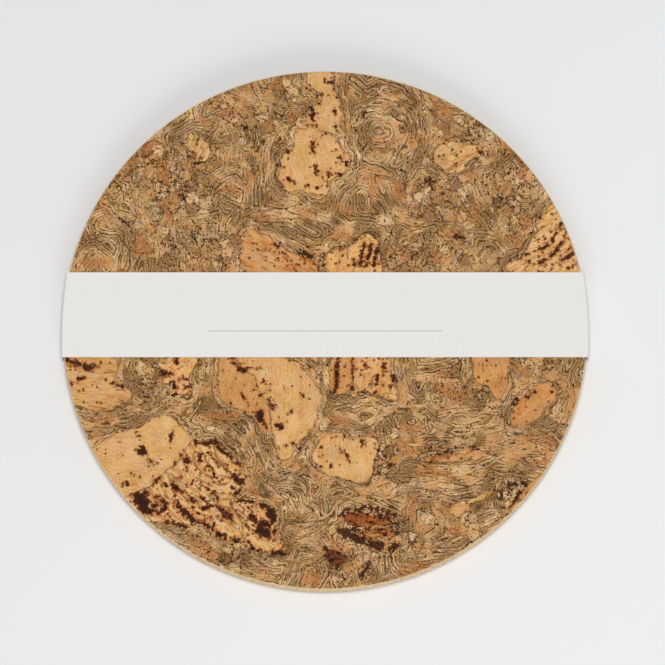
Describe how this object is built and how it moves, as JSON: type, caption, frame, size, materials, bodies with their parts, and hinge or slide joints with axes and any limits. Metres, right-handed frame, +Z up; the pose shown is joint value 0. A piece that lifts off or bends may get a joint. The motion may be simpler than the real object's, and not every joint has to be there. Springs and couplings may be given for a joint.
{
  "type": "trivet",
  "caption": "Round cork trivet with a swirled decorative cork veneer, wrapped in a plain card band that slides off.",
  "frame": {"origin": "on the disc's axis, at the level of the table under the glued flaps of the band", "axes": "+Z up along the disc's axis, X along the card band, +Y the way the band slides off"},
  "size_m": [0.2212, 0.22, 0.0113],
  "materials": {
    "board_cork": "matte",
    "veneer_glue": "satin",
    "strata_cork": "matte",
    "pale_cork": "matte",
    "streaked_cork": "matte",
    "amber_cork": "matte",
    "dark_cork": "matte",
    "card": "matte",
    "flap_glue": "satin"
  },
  "bodies": {
    "trivet": {"core_board": "board_cork", "veneer_film": "veneer_glue", "strata_veneer": "strata_cork", "crown_slab": "pale_cork", "upper_slab": "pale_cork", "shoulder_slab": "pale_cork", "rim_slab": "streaked_cork", "sand_slab": "pale_cork", "ridge_slab": "streaked_cork", "comb_slab": "streaked_cork", "cheek_slab": "pale_cork", "chip_slab": "streaked_cork", "bar_slab": "amber_cork", "oval_slab": "pale_cork", "saddle_slab": "pale_cork", "bark_slab": "streaked_cork", "heel_slab": "streaked_cork", "lower_slab": "pale_cork", "post_slab": "amber_cork", "gate_slab": "streaked_cork", "amber_slab": "amber_cork", "slant_slab": "amber_cork", "lens_slab": "amber_cork", "sliver_slab": "pale_cork", "edge_slab": "amber_cork", "rust_slab": "amber_cork", "ember_slab": "amber_cork", "dark_chip": "dark_cork"},
    "band": {"band": "card", "band_glue": "flap_glue"}
  },
  "joints": [
    {"name": "band_slide", "type": "slide", "parent": "trivet", "child": "band", "axis": [0, 1, 0], "range_m": [0, 0.125]}
  ]
}
